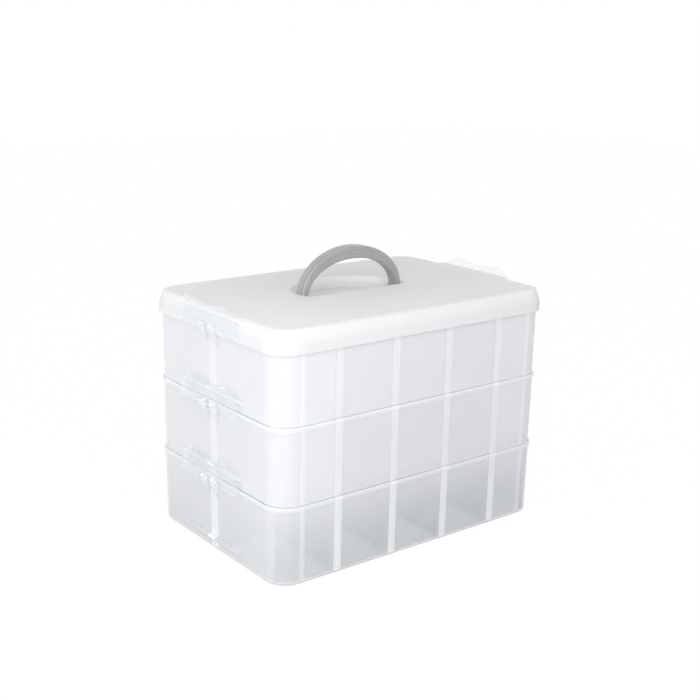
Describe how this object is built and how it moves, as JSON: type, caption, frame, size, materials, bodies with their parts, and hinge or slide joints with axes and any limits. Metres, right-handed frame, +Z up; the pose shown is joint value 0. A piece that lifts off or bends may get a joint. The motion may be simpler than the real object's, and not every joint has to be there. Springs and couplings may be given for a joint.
{
  "type": "stackable storage box",
  "caption": "Stacked translucent trays with slotted dividers under one shallow lid, held by side latch flaps, with an arch handle that folds into the lid.",
  "frame": {"origin": "centre of the underside of the bottom tray, on the surface that the box stands on", "axes": "+X along the box to its right-hand end seen from the front, +Y to the back, where the handle folds, +Z up"},
  "size_m": [0.2594, 0.17, 0.2118],
  "materials": {
    "clear_plastic": "satin, translucent",
    "latch_plastic": "satin, translucent",
    "grey_plastic": "satin"
  },
  "bodies": {
    "bottom_tier": {"bottom_tray": "clear_plastic", "bottom_long_divider": "clear_plastic", "bottom_rear_divider_1": "clear_plastic", "bottom_rear_divider_2": "clear_plastic", "bottom_rear_divider_3": "clear_plastic", "bottom_rear_divider_4": "clear_plastic", "bottom_front_divider_1": "clear_plastic", "bottom_front_divider_2": "clear_plastic", "bottom_front_divider_3": "clear_plastic", "bottom_front_divider_4": "clear_plastic"},
    "middle_tier": {"middle_tray": "clear_plastic", "middle_long_divider": "clear_plastic", "middle_rear_divider_1": "clear_plastic", "middle_rear_divider_2": "clear_plastic", "middle_rear_divider_3": "clear_plastic", "middle_rear_divider_4": "clear_plastic", "middle_front_divider_1": "clear_plastic", "middle_front_divider_2": "clear_plastic", "middle_front_divider_3": "clear_plastic", "middle_front_divider_4": "clear_plastic"},
    "top_tier": {"top_tray": "clear_plastic", "top_long_divider": "clear_plastic", "top_rear_divider_1": "clear_plastic", "top_rear_divider_2": "clear_plastic", "top_rear_divider_3": "clear_plastic", "top_rear_divider_4": "clear_plastic", "top_front_divider_1": "clear_plastic", "top_front_divider_2": "clear_plastic", "top_front_divider_3": "clear_plastic", "top_front_divider_4": "clear_plastic"},
    "bottom_latch_right": {"bottom_latch_right": "latch_plastic"},
    "bottom_latch_left": {"bottom_latch_left": "latch_plastic"},
    "middle_latch_right": {"middle_latch_right": "latch_plastic"},
    "middle_latch_left": {"middle_latch_left": "latch_plastic"},
    "top_latch_right": {"top_latch_right": "latch_plastic"},
    "top_latch_left": {"top_latch_left": "latch_plastic"},
    "lid": {"lid": "clear_plastic"},
    "handle": {"handle": "grey_plastic"}
  },
  "joints": [
    {"name": "middle_lift", "type": "slide", "parent": "bottom_tier", "child": "middle_tier", "axis": [0, 0, 1], "range_m": [0, 0.06]},
    {"name": "top_lift", "type": "slide", "parent": "middle_tier", "child": "top_tier", "axis": [0, 0, 1], "range_m": [0, 0.06]},
    {"name": "lid_lift", "type": "slide", "parent": "top_tier", "child": "lid", "axis": [0, 0, 1], "range_m": [0, 0.06]},
    {"name": "handle_fold", "type": "hinge", "parent": "lid", "child": "handle", "pos_m": [0, 0.0035, 0.1762], "axis": [-1, 0, 0], "range_deg": [0, 90]},
    {"name": "bottom_latch_right_swing", "type": "hinge", "parent": "bottom_tier", "child": "bottom_latch_right", "pos_m": [0.1273, 0, 0.0556], "axis": [0, 1, 0], "range_deg": [0, 120]},
    {"name": "bottom_latch_left_swing", "type": "hinge", "parent": "bottom_tier", "child": "bottom_latch_left", "pos_m": [-0.1273, 0, 0.0556], "axis": [0, -1, 0], "range_deg": [0, 120]},
    {"name": "middle_latch_right_swing", "type": "hinge", "parent": "middle_tier", "child": "middle_latch_right", "pos_m": [0.1273, 0, 0.1118], "axis": [0, 1, 0], "range_deg": [0, 120]},
    {"name": "middle_latch_left_swing", "type": "hinge", "parent": "middle_tier", "child": "middle_latch_left", "pos_m": [-0.1273, 0, 0.1118], "axis": [0, -1, 0], "range_deg": [0, 120]},
    {"name": "top_latch_right_swing", "type": "hinge", "parent": "top_tier", "child": "top_latch_right", "pos_m": [0.1273, 0, 0.168], "axis": [0, 1, 0], "range_deg": [0, 120]},
    {"name": "top_latch_left_swing", "type": "hinge", "parent": "top_tier", "child": "top_latch_left", "pos_m": [-0.1273, 0, 0.168], "axis": [0, -1, 0], "range_deg": [0, 120]}
  ]
}
